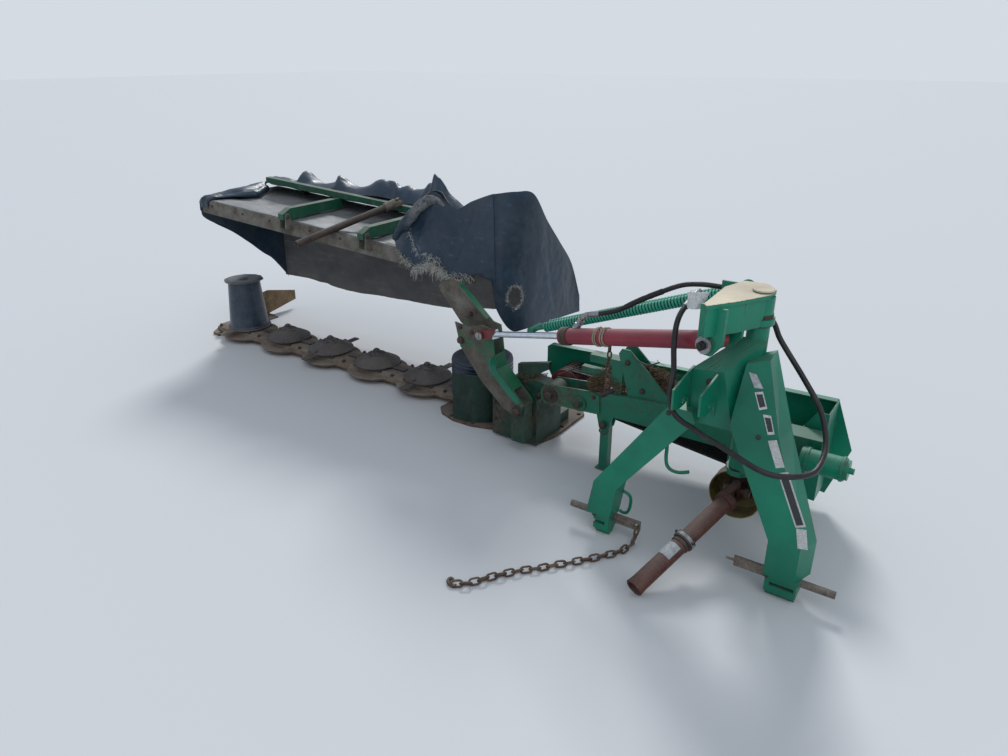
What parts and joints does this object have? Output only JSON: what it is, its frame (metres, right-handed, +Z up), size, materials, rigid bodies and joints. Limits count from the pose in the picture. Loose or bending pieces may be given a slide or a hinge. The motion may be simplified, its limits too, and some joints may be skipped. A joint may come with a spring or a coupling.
{
  "type": "disc mower",
  "caption": "Three-point-hitch disc mower with its cutterbar lowered beside the headstock, belt drive, lift cylinder, float springs and a canvas shield folded open.",
  "frame": {"origin": "centre of the footprint at ground level", "axes": "-Y toward the tractor and the direction of travel, +Y rearward, +X to the machine's left where the headstock is, cutterbar runs toward -X, +Z up"},
  "size_m": [4.3305, 2.0073, 1.215],
  "materials": {
    "green_paint": "satin green paint, worn and dusty",
    "rusty_steel": "brown rust",
    "guard_plastic": "dirty yellow and black",
    "hose_rubber": "matt black",
    "pulley_iron": "faded red",
    "red_paint": "gloss red paint",
    "chrome_rod": "polished",
    "canvas": "dusty blue-black coated canvas",
    "disc_iron": "dark worn iron"
  },
  "bodies": {
    "headstock": {"headstock": "green_paint", "hitch_pins": "rusty_steel", "hitch_chain": "rusty_steel"},
    "swing_frame": {"swing_head": "green_paint", "main_beam": "green_paint", "belt_guard": "green_paint", "shaft_guard": "guard_plastic", "pivot_tube": "green_paint", "drive_yoke": "rusty_steel", "float_springs": "green_paint", "lift_hose": "hose_rubber"},
    "drive_pulley": {"drive_pulley": "pulley_iron"},
    "driven_pulley": {"driven_pulley": "pulley_iron"},
    "hanging_shaft": {"shaft_outer_half": "rusty_steel"},
    "barrel": {"cylinder_barrel": "red_paint"},
    "rod": {"cylinder_rod": "chrome_rod"},
    "bar": {"bar_hinge": "green_paint", "gearbox": "green_paint", "inner_shoe": "rusty_steel", "cutterbar": "rusty_steel", "outer_shoe": "rusty_steel"},
    "lever": {"lever": "green_paint", "shield_arm": "green_paint", "shield_frame": "green_paint", "shield_top": "canvas", "rear_curtain": "canvas", "outer_curtain": "canvas", "inner_flap": "canvas", "front_frame": "green_paint", "front_curtain": "canvas", "shaft_inner_half": "rusty_steel"},
    "stand": {"parking_stand": "green_paint"},
    "disc_1": {"disc_1": "disc_iron"},
    "disc_2": {"disc_2": "disc_iron"},
    "disc_3": {"disc_3": "disc_iron"},
    "disc_4": {"disc_4": "disc_iron"},
    "disc_5": {"disc_5": "disc_iron"},
    "disc_6": {"disc_6": "disc_iron"}
  },
  "joints": [
    {"name": "breakaway", "type": "hinge", "parent": "headstock", "child": "swing_frame", "pos_m": [1.733, -0.195, 0.3], "axis": [0, 0, -1], "range_deg": [0, 15]},
    {"name": "drive_spin", "type": "hinge", "parent": "swing_frame", "child": "drive_pulley", "pos_m": [1.727, 0.255, 0.25], "axis": [0, 1, 0], "continuous": true},
    {"name": "driven_spin", "type": "hinge", "parent": "bar", "child": "driven_pulley", "pos_m": [0.735, 0.255, 0.325], "axis": [0, 1, 0], "continuous": true},
    {"name": "shaft_lift", "type": "hinge", "parent": "swing_frame", "child": "hanging_shaft", "pos_m": [1.727, -0.14, 0.25], "axis": [-1, 0, 0], "range_deg": [0, 35]},
    {"name": "barrel_swing", "type": "hinge", "parent": "swing_frame", "child": "barrel", "pos_m": [1.64, -0.35, 0.925], "axis": [0.2536, 0.9673, 0], "range_deg": [0, 2]},
    {"name": "rod_slide", "type": "slide", "parent": "barrel", "child": "rod", "axis": [-0.9369, 0.2456, -0.2487], "range_m": [-0.428, 0]},
    {"name": "bar_lift", "type": "hinge", "parent": "swing_frame", "child": "bar", "pos_m": [0.735, 0.135, 0.325], "axis": [0, 1, 0], "range_deg": [0, 65]},
    {"name": "lever_tilt", "type": "hinge", "parent": "bar", "child": "lever", "pos_m": [0.605, 0.04, 0.234], "axis": [0, 1, 0], "range_deg": [-3, 8]},
    {"name": "stand_fold", "type": "hinge", "parent": "swing_frame", "child": "stand", "pos_m": [1.023, 0.115, 0.245], "axis": [0, -1, 0], "range_deg": [0, 90]},
    {"name": "disc_1_spin", "type": "hinge", "parent": "bar", "child": "disc_1", "pos_m": [0.135, 0.355, 0.084], "axis": [0, 0, 1], "continuous": true},
    {"name": "disc_2_spin", "type": "hinge", "parent": "bar", "child": "disc_2", "pos_m": [-0.265, 0.355, 0.084], "axis": [0, 0, 1], "continuous": true},
    {"name": "disc_3_spin", "type": "hinge", "parent": "bar", "child": "disc_3", "pos_m": [-0.665, 0.355, 0.084], "axis": [0, 0, 1], "continuous": true},
    {"name": "disc_4_spin", "type": "hinge", "parent": "bar", "child": "disc_4", "pos_m": [-1.065, 0.355, 0.084], "axis": [0, 0, 1], "continuous": true},
    {"name": "disc_5_spin", "type": "hinge", "parent": "bar", "child": "disc_5", "pos_m": [-1.465, 0.355, 0.084], "axis": [0, 0, 1], "continuous": true},
    {"name": "disc_6_spin", "type": "hinge", "parent": "bar", "child": "disc_6", "pos_m": [-1.865, 0.355, 0.084], "axis": [0, 0, 1], "continuous": true}
  ],
  "couplings": [
    {"joint": "disc_2_spin", "follows": "disc_1_spin", "ratio": -1},
    {"joint": "disc_3_spin", "follows": "disc_1_spin", "ratio": 1},
    {"joint": "disc_4_spin", "follows": "disc_1_spin", "ratio": -1},
    {"joint": "disc_5_spin", "follows": "disc_1_spin", "ratio": 1},
    {"joint": "disc_6_spin", "follows": "disc_1_spin", "ratio": -1},
    {"joint": "driven_spin", "follows": "disc_1_spin", "ratio": 0.28},
    {"joint": "drive_spin", "follows": "disc_1_spin", "ratio": 0.18},
    {"joint": "rod_slide", "follows": "bar_lift", "m_per_rad": -0.3768},
    {"joint": "barrel_swing", "follows": "bar_lift", "ratio": 0.03}
  ]
}
